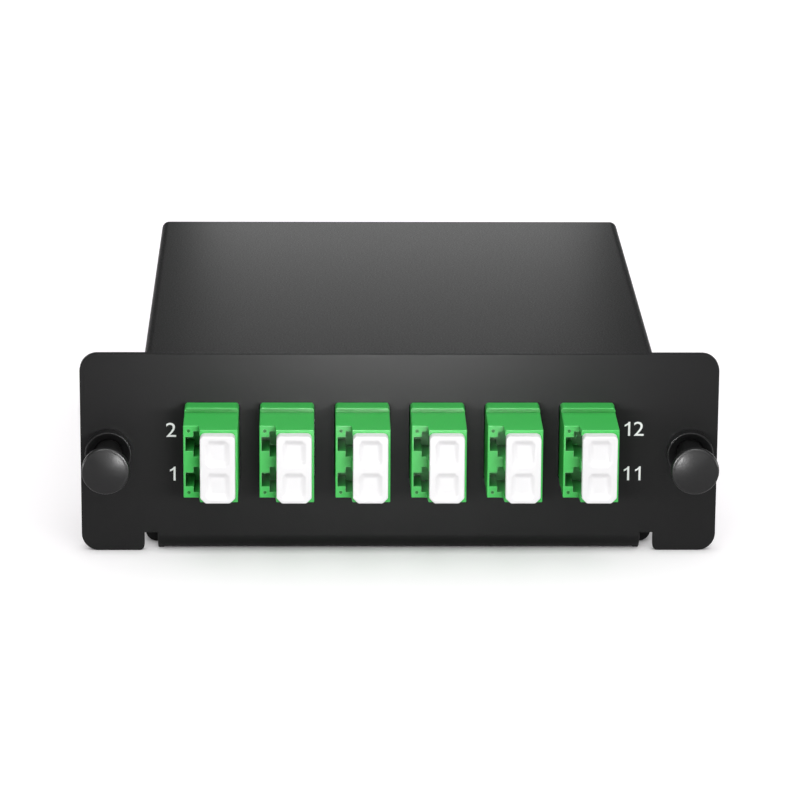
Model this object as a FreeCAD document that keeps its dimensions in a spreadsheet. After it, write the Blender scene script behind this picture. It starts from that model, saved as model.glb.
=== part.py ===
import FreeCAD, Part
import math
import os
import re

import Sketcher
from FreeCAD import Placement, Rotation, Vector

# A fibre cassette for a patch enclosure. X runs along the front panel, +Y goes into the enclosure and
# +Z is up. The origin is the middle of the panel's rear face, the face that seats on the enclosure.

doc = FreeCAD.newDocument("fibre_cassette")

# Driving dimensions in millimetres.
SIZES = [
    # Folded tray: front panel with ears, floor, side walls and rear wall in one sheet
    ("panel_width", 109.0),
    ("panel_height", 35.0),
    ("panel_corner", 3.0),
    ("tray_sheet", 1.5),
    ("end_bend_inside", 1.3),
    ("side_bend_inside", 0.5),
    ("ear_width", 10.75),
    ("box_depth", 98.5),
    ("relief_width", 2.3),
    ("relief_height", 3.2),
    ("relief_depth", 3.7),
    ("overshoot", 1.0),
    ("ear_corner", 0.9),
    ("wall_front_gap", 0.4),
    ("corner_gap", 0.3),
    ("seam_height", 10.0),
    # Folded top cover
    ("lid_sheet", 1.0),
    ("lid_bend_inside", 0.4),
    ("lid_drop", 1.2),
    ("lid_gap", 0.2),
    ("seam_gap", 0.3),
    ("lid_front_gap", 0.25),
    ("lid_seat_gap", 0.1),
    # Flat-headed screws that hold the cover
    ("screw_diameter", 2.0),
    ("screw_length", 4.0),
    ("screw_head_diameter", 3.8),
    ("screw_clearance", 0.03),
    ("screw_height", 8.0),
    ("screw_front", 18.0),
    ("screw_from_end", 16.5),
    # Duplex adapters
    ("side_margin", 5.35),
    ("adapter_level", 1.9),
    ("adapter_thick", 9.2),
    ("adapter_tall", 12.7),
    ("adapter_front", 14.05),
    ("adapter_rear", 13.0),
    ("flange_depth", 3.4),
    ("flange_step", 0.75),
    ("flange_corner", 0.35),
    ("cutout_clearance", 0.1),
    ("latch_setback", 2.6),
    ("latch_side", 2.85),
    ("latch_slope", 0.25),
    ("port_pitch", 6.25),
    ("port_offset", 1.2),
    ("port_opening", 4.8),
    ("port_depth", 9.5),
    ("latch_slot", 2.45),
    ("latch_slot_wall", 0.35),
    ("catch_slot", 4.45),
    ("catch_slot_reach", 1.7),
    # Ceramic ferrules and the sleeves that line them up
    ("ferrule_diameter", 1.25),
    ("ferrule_reach", 4.6),
    ("sleeve_diameter", 1.65),
    ("sleeve_length", 6.6),
    ("sleeve_clearance", 0.02),
    # Spring clip of each adapter
    ("clip_sheet", 0.3),
    ("clip_length", 7.0),
    ("clip_clearance", 0.05),
    ("clip_tang", 1.2),
    # Duplex dust caps
    ("cap_wide", 5.9),
    ("cap_tall", 11.75),
    ("cap_thick", 2.3),
    ("cap_corner", 0.8),
    ("cap_chamfer", 0.9),
    ("cap_clearance", 0.1),
    ("cap_dish_wide", 3.85),
    ("cap_dish_tall", 4.5),
    ("cap_dish_pitch", 5.7),
    ("cap_dish_depth", 0.45),
    ("cap_dish_corner", 0.6),
    ("cap_gap", 0.05),
    ("stem_length", 7.5),
    ("stem_clearance", 0.15),
    ("stem_bore", 3.0),
    ("stem_bore_depth", 6.5),
    # Plugs on the fibres inside the box
    ("plug_nose", 4.5),
    ("plug_gap", 0.2),
    ("plug_body_length", 9.0),
    ("plug_body_wide", 5.0),
    ("plug_chamfer", 0.75),
    ("lever_wide", 2.1),
    ("lever_thick", 0.8),
    ("lever_run", 2.0),
    ("lever_sunk", 0.25),
    ("lever_clear", 0.6),
    ("boot_length", 9.0),
    ("boot_diameter", 2.6),
    # Fibre leads, fan-out block and ribbon
    ("lead_diameter", 0.9),
    ("lead_bend", 6.0),
    ("lead_straight", 1.0),
    ("lead_lane", 1.1),
    ("lead_end_gap", 0.02),
    ("block_from_end", 36.5),
    ("block_length", 12.0),
    ("block_straight", 7.2),
    ("block_wide", 9.0),
    ("block_above", 2.5),
    ("ribbon_thick", 0.4),
    ("ribbon_tall", 3.2),
    ("loop_from_end", 56.5),
    ("ribbon_tail", 1.0),
    ("ribbon_clearance", 0.1),
    ("post_wide", 5.0),
    ("post_length", 6.0),
    ("post_rim", 1.0),
    ("post_right_ahead", 1.0),
    ("post_left_ahead", 16.0),
    # Rear multi-fibre adapter
    ("mpo_level", -8.0),
    ("mpo_wide", 12.6),
    ("mpo_tall", 9.2),
    ("mpo_outside", 12.5),
    ("mpo_inside", 12.0),
    ("mpo_flange_margin", 4.0),
    ("mpo_flange_thick", 2.0),
    ("mpo_flange_corner", 1.5),
    ("mpo_port_wide", 10.4),
    ("mpo_port_tall", 6.6),
    ("mpo_wall", 2.0),
    ("mpo_key_wide", 3.2),
    ("mpo_key_tall", 0.8),
    ("mpo_window_wide", 7.3),
    ("mpo_window_tall", 3.3),
    ("mpo_head_margin", 1.6),
    ("mpo_screw_length", 5.5),
    ("mpo_head_thick", 1.3),
    ("mpo_stem_wall", 1.2),
    ("mpo_plug_wide", 12.2),
    ("mpo_plug_tall", 7.6),
    ("mpo_plug_length", 11.0),
    ("mpo_plug_corner", 1.5),
    ("mpo_nose_clearance", 0.2),
    ("mpo_boot_length", 12.0),
    ("mpo_boot_wide", 6.4),
    ("mpo_boot_tall", 5.2),
    ("mpo_boot_taper", 3.0),
    # Push-pull latches in the ears
    ("latch_edge", 4.8),
    ("latch_level", 0.3),
    ("latch_hole_diameter", 7.0),
    ("latch_hole_clearance", 0.1),
    ("collar_diameter", 7.9),
    ("collar_thick", 2.2),
    ("funnel_diameter", 7.4),
    ("funnel_depth", 1.2),
    ("grommet_reach", 9.0),
    ("leg_diameter", 6.0),
    ("leg_straight", 7.5),
    ("leg_tip_wall", 0.35),
    ("slit_width", 1.0),
    ("slit_start", 1.5),
    ("plunger_diameter", 4.6),
    ("plunger_clearance", 0.07),
    ("plunger_out", 8.7),
    ("head_diameter", 8.1),
    ("head_thick", 1.8),
    ("head_dome", 1.0),
    ("head_flat_diameter", 3.4),
]

# Sizes that follow from the driving ones: each is a sum of driving sizes times their factors.
FOLLOWING = {
    "box_width": {"panel_width": 1, "ear_width": -2},
    "adapter_pitch": {"panel_width": 1 / 6, "ear_width": -1 / 3, "side_margin": -1 / 3},
    "screw_rear": {"box_depth": 1, "screw_from_end": -1},
    "block_front": {"box_depth": 1, "block_from_end": -1},
    "ribbon_loop_start": {"box_depth": 1, "loop_from_end": -1},
    "latch_place": {"panel_width": 1 / 2, "latch_edge": -1},
    "mpo_offset": {"panel_width": 0.275, "ear_width": -0.55},
    "mpo_screw_pitch": {"mpo_wide": 1, "screw_head_diameter": 1, "mpo_head_margin": 1},
    "mpo_flange_wide": {"mpo_wide": 1, "screw_head_diameter": 1, "mpo_head_margin": 1, "mpo_flange_margin": 1},
    "ribbon_loop_radius": {"panel_width": 0.275, "ear_width": -0.55},
    "ribbon_turn_radius": {"panel_width": 0.13, "ear_width": -0.26},
}


def make_size_sheet():
    """The spreadsheet that holds every driving dimension under its own alias."""
    page = doc.addObject("Spreadsheet::Sheet", "Sizes")
    for row, (alias, number) in enumerate(SIZES, start=1):
        page.set("A%d" % row, alias.replace("_", " "))
        page.set("B%d" % row, str(number))
        page.setAlias("B%d" % row, alias)
    doc.recompute()
    return page


sheet = make_size_sheet()
ALIASES = {alias for alias, number in SIZES}
PLANES = {"XY": ("XY_Plane", 1), "XZ": ("XZ_Plane", -1), "YZ": ("YZ_Plane", 1)}
ADAPTERS = 6
SMALL_ROUND_SIDES = 6
SCREW_SIDES = 12
NEAR = 1e-4

subparts = []


def size(alias):
    """The present number in the cell of that alias, or of a size that follows from others."""
    if alias in FOLLOWING:
        return sum(factor * size(base) for base, factor in FOLLOWING[alias].items())
    return float(sheet.get(alias))


def in_cells(word):
    """A word of a formula as the sheet knows it."""
    if word in FOLLOWING:
        return "(%s)" % " + ".join("%r * Sizes.%s" % (factor, base) for base, factor in FOLLOWING[word].items())
    return "Sizes." + word if word in ALIASES else word


def bind(thing, prop, formula):
    """Tie a property of an object to a formula of the sheet's aliases."""
    thing.setExpression(prop, re.sub(r"[a-z][a-z0-9_]*", lambda found: in_cells(found[0]), formula))


def keep(thing, label):
    """Give a finished sub-part its name and put it on the list that is written out."""
    thing.Label = label
    subparts.append(thing)
    return thing


def new_body(label):
    return keep(doc.addObject("PartDesign::Body", label), label)


def place(thing, x="0", y="0", z="0"):
    for axis, formula in (("x", x), ("y", y), ("z", z)):
        bind(thing, "Placement.Base." + axis, formula)


def sketch_on(body, plane, level="0"):
    """An empty sketch on one of the body's own planes, moved to the given level along its axis."""
    role, sense = PLANES[plane]
    sketch = body.newObject("Sketcher::SketchObject", body.Label + "_sketch")
    sketch.AttachmentSupport = [([f for f in body.Origin.OriginFeatures if f.Role == role][0], "")]
    sketch.MapMode = "FlatFace"
    bind(sketch, "AttachmentOffset.Base.z", level if sense > 0 else "-(%s)" % level)
    return sketch


def hold(sketch, kind, geometry, point, formula):
    """Hold a point of the sketch at a distance from the sketch's origin."""
    number = sketch.addConstraint(Sketcher.Constraint(kind, -1, 1, geometry, point, 1.0))
    bind(sketch, "Constraints[%d]" % number, formula)


def draw_outline(sketch, corners):
    """A closed outline of straight edges through corners given as pairs of formulas."""
    first = sketch.GeometryCount
    count = len(corners)
    spots = [Vector(math.cos(math.tau * n / count), math.sin(math.tau * n / count), 0) for n in range(count)]
    sketch.addGeometry([Part.LineSegment(spots[n], spots[(n + 1) % count]) for n in range(count)], False)
    for n in range(count):
        sketch.addConstraint(Sketcher.Constraint("Coincident", first + n, 2, first + (n + 1) % count, 1))
    for n, (across, up) in enumerate(corners):
        hold(sketch, "DistanceX", first + n, 1, across)
        hold(sketch, "DistanceY", first + n, 1, up)


def draw_rectangle(sketch, left, right, bottom, top):
    draw_outline(sketch, [(left, bottom), (right, bottom), (right, top), (left, top)])


def draw_centred(sketch, across, up, wide, tall):
    """A rectangle given by the formulas of its centre, width and height."""
    draw_rectangle(sketch, "%s - (%s) / 2" % (across, wide), "%s + (%s) / 2" % (across, wide),
                   "%s - (%s) / 2" % (up, tall), "%s + (%s) / 2" % (up, tall))


def draw_small_round(sketch, across, up, diameter, sides=SMALL_ROUND_SIDES):
    """A small hole that repeats, with a few flat sides in place of a circle."""
    turns = [math.tau * n / sides for n in range(sides)]
    draw_outline(sketch, [("%s + %s / 2 * %.6f" % (across, diameter, math.cos(turn)),
                           "%s + %s / 2 * %.6f" % (up, diameter, math.sin(turn))) for turn in turns])


def draw_circle(sketch, across, up, diameter):
    number = sketch.addGeometry(Part.Circle(Vector(0, 0, 0), Vector(0, 0, 1), 1.0), False)
    hold(sketch, "DistanceX", number, 3, across)
    hold(sketch, "DistanceY", number, 3, up)
    radius = sketch.addConstraint(Sketcher.Constraint("Radius", number, 1.0))
    bind(sketch, "Constraints[%d]" % radius, "(%s) / 2" % diameter)


def pad(body, sketch, plane, length, sense=1, centred=False):
    """Grow the sketch into a solid along the plane's axis, towards + for a sense of 1."""
    feature = body.newObject("PartDesign::Pad", body.Label + "_pad")
    feature.Profile = sketch
    bind(feature, "Length", length)
    feature.SideType = "Symmetric" if centred else "One side"
    feature.Reversed = sense * PLANES[plane][1] < 0
    body.Tip = feature
    return feature


def pocket(body, sketch, plane, length, sense=1, centred=False):
    """Cut the sketch out of the body along the plane's axis, towards + for a sense of 1."""
    doc.recompute()
    before = body.Tip.Shape.Volume
    feature = body.newObject("PartDesign::Pocket", body.Label + "_pocket")
    feature.Profile = sketch
    bind(feature, "Length", length)
    feature.SideType = "Symmetric" if centred else "One side"
    feature.Reversed = sense * PLANES[plane][1] > 0
    body.Tip = feature
    doc.recompute()
    if feature.Shape.Volume > before - NEAR:
        raise ValueError("%s: a pocket cut nothing" % body.Label)
    return feature


def dress(body, kind, prop, amount, chosen):
    """Fillet or chamfer the edges of the body's present solid that the test picks."""
    doc.recompute()
    base = body.Tip
    names = ["Edge%d" % (n + 1) for n, edge in enumerate(base.Shape.Edges) if chosen(edge)]
    if not names:
        raise ValueError("%s: no edge was picked" % body.Label)
    feature = body.newObject("PartDesign::" + kind, body.Label + "_" + kind.lower())
    feature.Base = (base, names)
    bind(feature, prop, amount)
    body.Tip = feature
    return feature


def fillet(body, radius, chosen):
    return dress(body, "Fillet", "Radius", radius, chosen)


def chamfer(body, depth, chosen):
    return dress(body, "Chamfer", "Size", depth, chosen)


def straight(edge, axis):
    """Whether an edge is a straight one along the axis."""
    if edge.Curve.TypeId != "Part::GeomLine":
        return False
    return abs(abs(edge.tangentAt(edge.FirstParameter).dot(axis)) - 1) < NEAR


def lies(edge, x=None, y=None, z=None):
    """Whether an edge's middle has the coordinates that are given."""
    middle = edge.CenterOfMass
    for found, wanted in ((middle.x, x), (middle.y, y), (middle.z, z)):
        if wanted is not None and abs(found - wanted) > NEAR:
            return False
    return True


ALONG_X = Vector(1, 0, 0)
ALONG_Y = Vector(0, 1, 0)
ALONG_Z = Vector(0, 0, 1)

UNDERSIDE = "-panel_height / 2"
FLOOR = "-panel_height / 2 + tray_sheet"
LID_TOP = "panel_height / 2 - lid_drop"
LID_UNDER = "panel_height / 2 - lid_drop - lid_sheet"
WALL_TOP = LID_UNDER + " - lid_seat_gap"
WALL_OUT = "box_width / 2"
NARROW = "box_width / 2 - relief_width"


def adapter_place(n):
    """The formula of the n-th adapter's middle along the panel."""
    return "%s * adapter_pitch" % (n - (ADAPTERS - 1) / 2)


def port_level(row):
    """The formula of a port's height, row 0 being the lower one."""
    return "adapter_level + %s * port_pitch" % (row - 0.5)


def make_base_tray():
    """The tray: one sheet with the panel, its ears, the floor and three walls folded up."""
    body = new_body("base_tray")

    # The middle strip runs down the front panel, along the floor and up the rear wall.
    strip = sketch_on(body, "YZ")
    draw_outline(strip, [
        ("-tray_sheet", UNDERSIDE), ("box_depth", UNDERSIDE), ("box_depth", WALL_TOP),
        ("box_depth - tray_sheet", WALL_TOP), ("box_depth - tray_sheet", FLOOR), ("0", FLOOR),
        ("0", "panel_height / 2"), ("-tray_sheet", "panel_height / 2")])
    pad(body, strip, "YZ", "2 * (%s)" % NARROW, centred=True)
    low, floor = -size("panel_height") / 2, -size("panel_height") / 2 + size("tray_sheet")
    rear = size("box_depth")
    fillet(body, "end_bend_inside + tray_sheet", lambda e: straight(e, ALONG_X) and (
        lies(e, y=-size("tray_sheet"), z=low) or lies(e, y=rear, z=low)))
    fillet(body, "end_bend_inside", lambda e: straight(e, ALONG_X) and (
        lies(e, y=0, z=floor) or lies(e, y=rear - size("tray_sheet"), z=floor)))

    # The panel with its two ears, notched where the folds begin.
    panel = sketch_on(body, "XZ")
    draw_outline(panel, [
        ("-panel_width / 2", UNDERSIDE), ("-(%s)" % WALL_OUT, UNDERSIDE),
        ("-(%s)" % WALL_OUT, UNDERSIDE + " + relief_height"), (WALL_OUT, UNDERSIDE + " + relief_height"),
        (WALL_OUT, UNDERSIDE), ("panel_width / 2", UNDERSIDE), ("panel_width / 2", "panel_height / 2"),
        ("-panel_width / 2", "panel_height / 2")])
    pad(body, panel, "XZ", "tray_sheet", sense=-1)
    fillet(body, "panel_corner", lambda e: straight(e, ALONG_Y) and (
        lies(e, x=-size("panel_width") / 2) or lies(e, x=size("panel_width") / 2)))
    fillet(body, "ear_corner", lambda e: straight(e, ALONG_Y) and lies(e, z=low) and (
        lies(e, x=-size("box_width") / 2, y=-size("tray_sheet") / 2)
        or lies(e, x=size("box_width") / 2, y=-size("tray_sheet") / 2)))

    # Side walls: a low band flush with the cover, then a step inwards that the cover slides over.
    walls = sketch_on(body, "XZ", "wall_front_gap")
    seam = UNDERSIDE + " + seam_height"
    step = "(lid_sheet + lid_gap)"
    inside_shift = "(sqrt(2) - 1) * tray_sheet"
    for sign in ("-", ""):
        draw_outline(walls, [(sign + "(%s)" % across, up) for across, up in (
            (NARROW + " - overshoot", UNDERSIDE), (WALL_OUT, UNDERSIDE), (WALL_OUT, seam + " - " + step),
            (WALL_OUT + " - " + step, seam), (WALL_OUT + " - " + step, WALL_TOP),
            (WALL_OUT + " - " + step + " - tray_sheet", WALL_TOP),
            (WALL_OUT + " - " + step + " - tray_sheet", seam + " - " + inside_shift),
            (WALL_OUT + " - tray_sheet", seam + " - " + step + " - " + inside_shift),
            (WALL_OUT + " - tray_sheet", FLOOR), (NARROW + " - overshoot", FLOOR))])
    pad(body, walls, "XZ", "box_depth - tray_sheet - corner_gap - wall_front_gap")
    outer, inner = size("box_width") / 2, size("box_width") / 2 - size("tray_sheet")
    fillet(body, "side_bend_inside + tray_sheet", lambda e: straight(e, ALONG_Y) and (
        lies(e, x=-outer, z=low) or lies(e, x=outer, z=low)) and e.Length > size("panel_height"))
    fillet(body, "side_bend_inside", lambda e: straight(e, ALONG_Y) and (
        lies(e, x=-inner, z=floor) or lies(e, x=inner, z=floor)))

    # Bend reliefs at the floor's four corners.
    relief = sketch_on(body, "XY", UNDERSIDE)
    for sign in ("-", ""):
        inner_edge, outer_edge = sign + "(%s)" % NARROW, sign + "(%s + overshoot)" % WALL_OUT
        draw_rectangle(relief, inner_edge, outer_edge, "0", "relief_depth")
        draw_rectangle(relief, inner_edge, outer_edge, "box_depth - relief_depth", "box_depth + overshoot")
    pocket(body, relief, "XY", "relief_height")

    # Openings for the adapters and holes for the latches.
    openings = sketch_on(body, "XZ", "-tray_sheet")
    for n in range(ADAPTERS):
        draw_centred(openings, adapter_place(n), "adapter_level",
                     "adapter_thick + 2 * cutout_clearance", "adapter_tall + 2 * cutout_clearance")
    for sign in ("-", ""):
        draw_circle(openings, sign + "latch_place", "latch_level", "latch_hole_diameter + 2 * latch_hole_clearance")
    pocket(body, openings, "XZ", "tray_sheet")

    # Opening and screw holes for the rear adapter.
    rear_opening = sketch_on(body, "XZ", "box_depth - tray_sheet")
    draw_centred(rear_opening, "mpo_offset", "mpo_level",
                 "mpo_wide + 2 * cutout_clearance", "mpo_tall + 2 * cutout_clearance")
    for sign in ("-", "+"):
        draw_small_round(rear_opening, "mpo_offset %s mpo_screw_pitch / 2" % sign, "mpo_level",
                         "(screw_diameter + 2 * screw_clearance)", SCREW_SIDES)
    pocket(body, rear_opening, "XZ", "tray_sheet")

    # Tapped holes for the cover's screws, through both walls.
    holes = sketch_on(body, "YZ")
    for along in ("screw_front", "screw_rear"):
        draw_small_round(holes, along, "screw_height", "(screw_diameter + 2 * screw_clearance)", SCREW_SIDES)
    pocket(body, holes, "YZ", "box_width + 2 * overshoot", centred=True)
    return body


def make_top_cover():
    """The cover: a top with a flange folded down each side, over the stepped walls."""
    body = new_body("top_cover")
    section = sketch_on(body, "XZ", "lid_front_gap")
    foot = UNDERSIDE + " + seam_height + seam_gap"
    draw_outline(section, [
        ("-box_width / 2", foot), ("-box_width / 2 + lid_sheet", foot),
        ("-box_width / 2 + lid_sheet", LID_UNDER), ("box_width / 2 - lid_sheet", LID_UNDER),
        ("box_width / 2 - lid_sheet", foot), ("box_width / 2", foot),
        ("box_width / 2", LID_TOP), ("-box_width / 2", LID_TOP)])
    pad(body, section, "XZ", "box_depth - lid_front_gap")
    top, half = size("panel_height") / 2 - size("lid_drop"), size("box_width") / 2
    under, inside = top - size("lid_sheet"), half - size("lid_sheet")
    fillet(body, "lid_bend_inside + lid_sheet", lambda e: straight(e, ALONG_Y) and (
        lies(e, x=-half, z=top) or lies(e, x=half, z=top)))
    fillet(body, "lid_bend_inside", lambda e: straight(e, ALONG_Y) and (
        lies(e, x=-inside, z=under) or lies(e, x=inside, z=under)))

    # Holes for the four screws.
    holes = sketch_on(body, "YZ")
    for along in ("screw_front", "screw_rear"):
        draw_small_round(holes, along, "screw_height", "(screw_head_diameter + 2 * screw_clearance)", SCREW_SIDES)
    pocket(body, holes, "YZ", "box_width + 2 * overshoot", centred=True)
    return body


def make_group(label, pieces):
    """Several equal solids that share one node."""
    group = doc.addObject("Part::Compound", label)
    group.Links = pieces
    return keep(group, label)


def small_round(name, diameter, length, sides=SMALL_ROUND_SIDES):
    """A short round piece that repeats, with a few flat sides, along +Y from its own origin."""
    piece = doc.addObject("Part::Prism", name)
    piece.Polygon = sides
    bind(piece, "Circumradius", "(%s) / 2" % diameter)
    bind(piece, "Height", length)
    piece.Placement = Placement(Vector(0, 0, 0), Rotation(ALONG_X, -90))
    return piece


def make_cover_screws():
    """Flat-headed screws, flush with the cover's sides."""
    screws = []
    for sign in (-1, 1):
        inward = Rotation(ALONG_Y, -90 * sign)
        for along in ("screw_front", "screw_rear"):
            head = doc.addObject("Part::Prism", "screw_head")
            head.Polygon = SCREW_SIDES
            bind(head, "Circumradius", "screw_head_diameter / 2")
            bind(head, "Height", "lid_sheet")
            shank = doc.addObject("Part::Prism", "screw_shank")
            shank.Polygon = SCREW_SIDES
            bind(shank, "Circumradius", "screw_diameter / 2")
            bind(shank, "Height", "screw_length")
            screw = doc.addObject("Part::Fuse", "screw")
            screw.Base, screw.Tool = head, shank
            screw.Placement = Placement(Vector(0, 0, 0), inward)
            place(screw, "%s * box_width / 2" % sign, along, "screw_height")
            screws.append(screw)
    return make_group("cover_screws", screws)


def half_outline(rear):
    """Corners of half of an adapter's plan, from the latch side round the end, at the front or rear."""
    end = "adapter_rear" if rear else "-tray_sheet - adapter_front"
    back = "- latch_setback" if rear else "+ latch_setback"
    corners = [
        ("-adapter_thick / 2", "%s %s" % (end, back)),
        ("-adapter_thick / 2 + latch_side - latch_slope", "%s %s" % (end, back)),
        ("-adapter_thick / 2 + latch_side", end),
        ("adapter_thick / 2", end)]
    return corners[::-1] if rear else corners


def port_outline(row):
    """A port's outline: the square opening and its latch slot, which narrows in a step on the left."""
    middle = "%s * port_pitch" % row
    right, left = "port_offset + port_opening / 2", "port_offset - port_opening / 2"
    step, end = "-adapter_thick / 2 + catch_slot_reach", "-adapter_thick / 2 + latch_slot_wall"
    half = [(right, "port_opening"), (left, "port_opening"), (left, "catch_slot"), (step, "catch_slot"),
            (step, "latch_slot"), (end, "latch_slot")]
    upper = [(across, "%s + %s / 2" % (middle, tall)) for across, tall in half]
    lower = [(across, "%s - %s / 2" % (middle, tall)) for across, tall in half]
    return upper + lower[::-1]


def make_adapter(n):
    """A duplex adapter: two ports one above the other at each end, their latch slots on the left."""
    body = new_body("lc_adapter_%d" % (n + 1))
    place(body, adapter_place(n), "0", "adapter_level")
    plan = sketch_on(body, "XY")
    draw_outline(plan, half_outline(False) + half_outline(True))
    pad(body, plan, "XY", "adapter_tall", centred=True)

    # The flange stands above and below the body and seats on the panel.
    flange = sketch_on(body, "XZ", "-tray_sheet")
    draw_centred(flange, "0", "0", "adapter_thick", "adapter_tall + 2 * flange_step")
    pad(body, flange, "XZ", "flange_depth", sense=-1)
    chamfer(body, "flange_corner", lambda e: straight(e, ALONG_Y) and abs(
        abs(e.CenterOfMass.z) - size("adapter_tall") / 2 - size("flange_step")) < NEAR)

    # Ports with their stepped latch slots, at the front and at the rear.
    for start, sense in (("-tray_sheet - adapter_front", 1), ("adapter_rear", -1)):
        ports = sketch_on(body, "XZ", start)
        for row in (-0.5, 0.5):
            draw_outline(ports, port_outline(row))
        pocket(body, ports, "XZ", "port_depth", sense=sense)

    # Bores for the alignment sleeves.
    bores = sketch_on(body, "XZ")
    for row in (-0.5, 0.5):
        draw_small_round(bores, "port_offset", "%s * port_pitch" % row, "(sleeve_diameter + 2 * sleeve_clearance)")
    pocket(body, bores, "XZ", "2 * (adapter_front + adapter_rear)", centred=True)
    return body


def make_dust_cap(n):
    """A duplex dust cap: a plate with two dished faces and two hollow stems in the ports."""
    body = new_body("dust_cap_%d" % (n + 1))
    place(body, adapter_place(n), "0", "adapter_level")
    seat = "-tray_sheet - adapter_front - cap_gap"
    plate = sketch_on(body, "XZ", seat)
    draw_centred(plate, "port_offset + cap_clearance / 2", "0", "cap_wide", "cap_tall")
    pad(body, plate, "XZ", "cap_thick", sense=-1)
    half = size("cap_tall") / 2
    fillet(body, "cap_corner", lambda e: straight(e, ALONG_Y) and lies(e, z=half))
    chamfer(body, "cap_chamfer", lambda e: straight(e, ALONG_Y) and lies(e, z=-half))

    stems = sketch_on(body, "XZ", seat)
    for row in (-0.5, 0.5):
        draw_centred(stems, "port_offset", "%s * port_pitch" % row,
                     "port_opening - 2 * stem_clearance", "port_opening - 2 * stem_clearance")
    pad(body, stems, "XZ", "stem_length")
    hollows = sketch_on(body, "XZ", seat + " + stem_length")
    for row in (-0.5, 0.5):
        draw_centred(hollows, "port_offset", "%s * port_pitch" % row, "stem_bore", "stem_bore")
    pocket(body, hollows, "XZ", "stem_bore_depth", sense=-1)

    dishes = sketch_on(body, "XZ", seat + " - cap_thick")
    for row in (-0.5, 0.5):
        draw_centred(dishes, "port_offset + cap_clearance / 2", "%s * cap_dish_pitch" % row,
                     "cap_dish_wide", "cap_dish_tall")
    pocket(body, dishes, "XZ", "cap_dish_depth")
    face = -size("tray_sheet") - size("adapter_front") - size("cap_gap") - size("cap_thick")
    chamfer(body, "cap_dish_corner", lambda e: straight(e, ALONG_Y)
            and abs(e.Length - size("cap_dish_depth")) < NEAR
            and lies(e, y=face + size("cap_dish_depth") / 2))
    return body


def make_adapter_clip(n):
    """A folded spring strap behind the panel that keeps the adapter in its opening."""
    body = new_body("adapter_clip_%d" % (n + 1))
    place(body, adapter_place(n), "0", "adapter_level")
    strap = sketch_on(body, "XZ", "clip_clearance")
    inside, outside = "clip_clearance", "(clip_clearance + clip_sheet)"
    wide, tall = "adapter_thick / 2", "adapter_tall / 2"
    draw_outline(strap, [
        ("-%s" % wide, "%s + %s" % (tall, inside)), ("-%s" % wide, "%s + %s" % (tall, outside)),
        ("%s + %s" % (wide, outside), "%s + %s" % (tall, outside)),
        ("%s + %s" % (wide, outside), "-%s - %s" % (tall, outside)),
        ("-%s" % wide, "-%s - %s" % (tall, outside)), ("-%s" % wide, "-%s - %s" % (tall, inside)),
        ("%s + %s" % (wide, inside), "-%s - %s" % (tall, inside)),
        ("%s + %s" % (wide, inside), "%s + %s" % (tall, inside))])
    pad(body, strap, "XZ", "clip_length")

    # A tang stands out above and below and bears on the panel's rear face.
    tangs = sketch_on(body, "YZ")
    for sign in ("", "-"):
        base = "%s(adapter_tall / 2 + clip_clearance + clip_sheet / 2)" % sign
        tip = "%s(adapter_tall / 2 + clip_clearance + clip_sheet / 2 + clip_tang)" % sign
        draw_outline(tangs, [("clip_length", base), ("clip_length - 2 * clip_sheet", base),
                             ("clip_clearance", tip), ("clip_clearance + clip_sheet", tip)])
    pad(body, tangs, "YZ", "adapter_thick / 2", centred=True)
    return body


NOSE_END = "adapter_rear - port_depth + plug_gap"
BOOT_FRONT = "adapter_rear + plug_gap + plug_body_length"


def make_plug(n, row):
    """A simplex plug in the rear of an adapter, with its latch lever on the left."""
    body = new_body("lc_plug_%d" % (2 * n + row + 1))
    place(body, adapter_place(n) + " + port_offset", "0", port_level(row))
    nose = sketch_on(body, "XZ", NOSE_END)
    draw_centred(nose, "0", "0", "plug_nose", "plug_nose")
    pad(body, nose, "XZ", "port_depth")
    housing = sketch_on(body, "XZ", "adapter_rear + plug_gap")
    draw_centred(housing, "0", "0", "plug_body_wide", "plug_nose")
    pad(body, housing, "XZ", "plug_body_length")
    chamfer(body, "plug_chamfer", lambda e: straight(e, ALONG_Y)
            and e.CenterOfMass.y > size("adapter_rear") + size("plug_gap"))

    # The lever springs from the nose and slopes out to the slot's catch and past the adapter's end.
    lever = sketch_on(body, "XY")
    root, tip = "-plug_nose / 2", "-adapter_thick / 2 - port_offset + latch_slot_wall + lever_clear"
    spring, behind = "adapter_rear - port_depth + lever_run", "adapter_rear + plug_gap + lever_run"
    draw_outline(lever, [
        (root + " + lever_sunk", spring), (root + " - lever_sunk", spring), (tip, behind),
        (tip, behind + " + lever_run"), (tip + " + lever_thick", behind + " + lever_run"),
        (tip + " + lever_thick", behind), (root + " + lever_sunk", spring + " + lever_run")])
    pad(body, lever, "XY", "lever_wide", centred=True)
    return body


def make_ferrules():
    """The ceramic ferrules that stand out of the plugs' noses."""
    ferrules = []
    for n in range(ADAPTERS):
        for row in (0, 1):
            ferrule = small_round("ferrule", "ferrule_diameter", "ferrule_reach")
            place(ferrule, adapter_place(n) + " + port_offset", NOSE_END + " - ferrule_reach", port_level(row))
            ferrules.append(ferrule)
    return make_group("ferrules", ferrules)


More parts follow.
